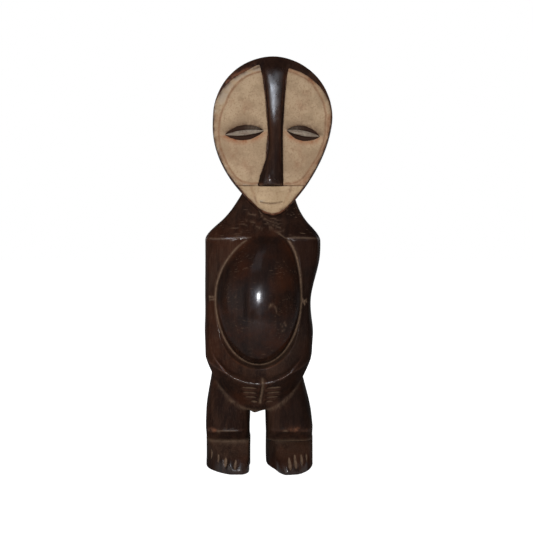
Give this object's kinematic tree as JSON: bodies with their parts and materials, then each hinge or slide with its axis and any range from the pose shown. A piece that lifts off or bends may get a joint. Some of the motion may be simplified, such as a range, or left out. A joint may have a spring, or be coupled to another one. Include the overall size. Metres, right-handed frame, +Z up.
{
  "type": "carved standing figure",
  "caption": "Standing wooden figure carved from one block, with an egg-shaped face coated in white clay, an oval belly, arms flat to the body and flat feet.",
  "frame": {"origin": "middle of the figure's bounding box, at the level of the soles", "axes": "+Z up from the soles to the crown, -Y the way the face looks, +X towards the figure's own left"},
  "size_m": [0.139, 0.0965, 0.45],
  "materials": {
    "dark_wood": "dark stained and waxed, worn glossy on the high places",
    "white_clay": "unfired white clay rubbed on the wood, matt, stained brown"
  },
  "bodies": {
    "root": {"carved_figure": "dark_wood", "right_cheek_clay": "white_clay", "left_cheek_clay": "white_clay", "mouth_clay": "white_clay", "right_eyelid_clay": "white_clay", "left_eyelid_clay": "white_clay"}
  },
  "joints": []
}
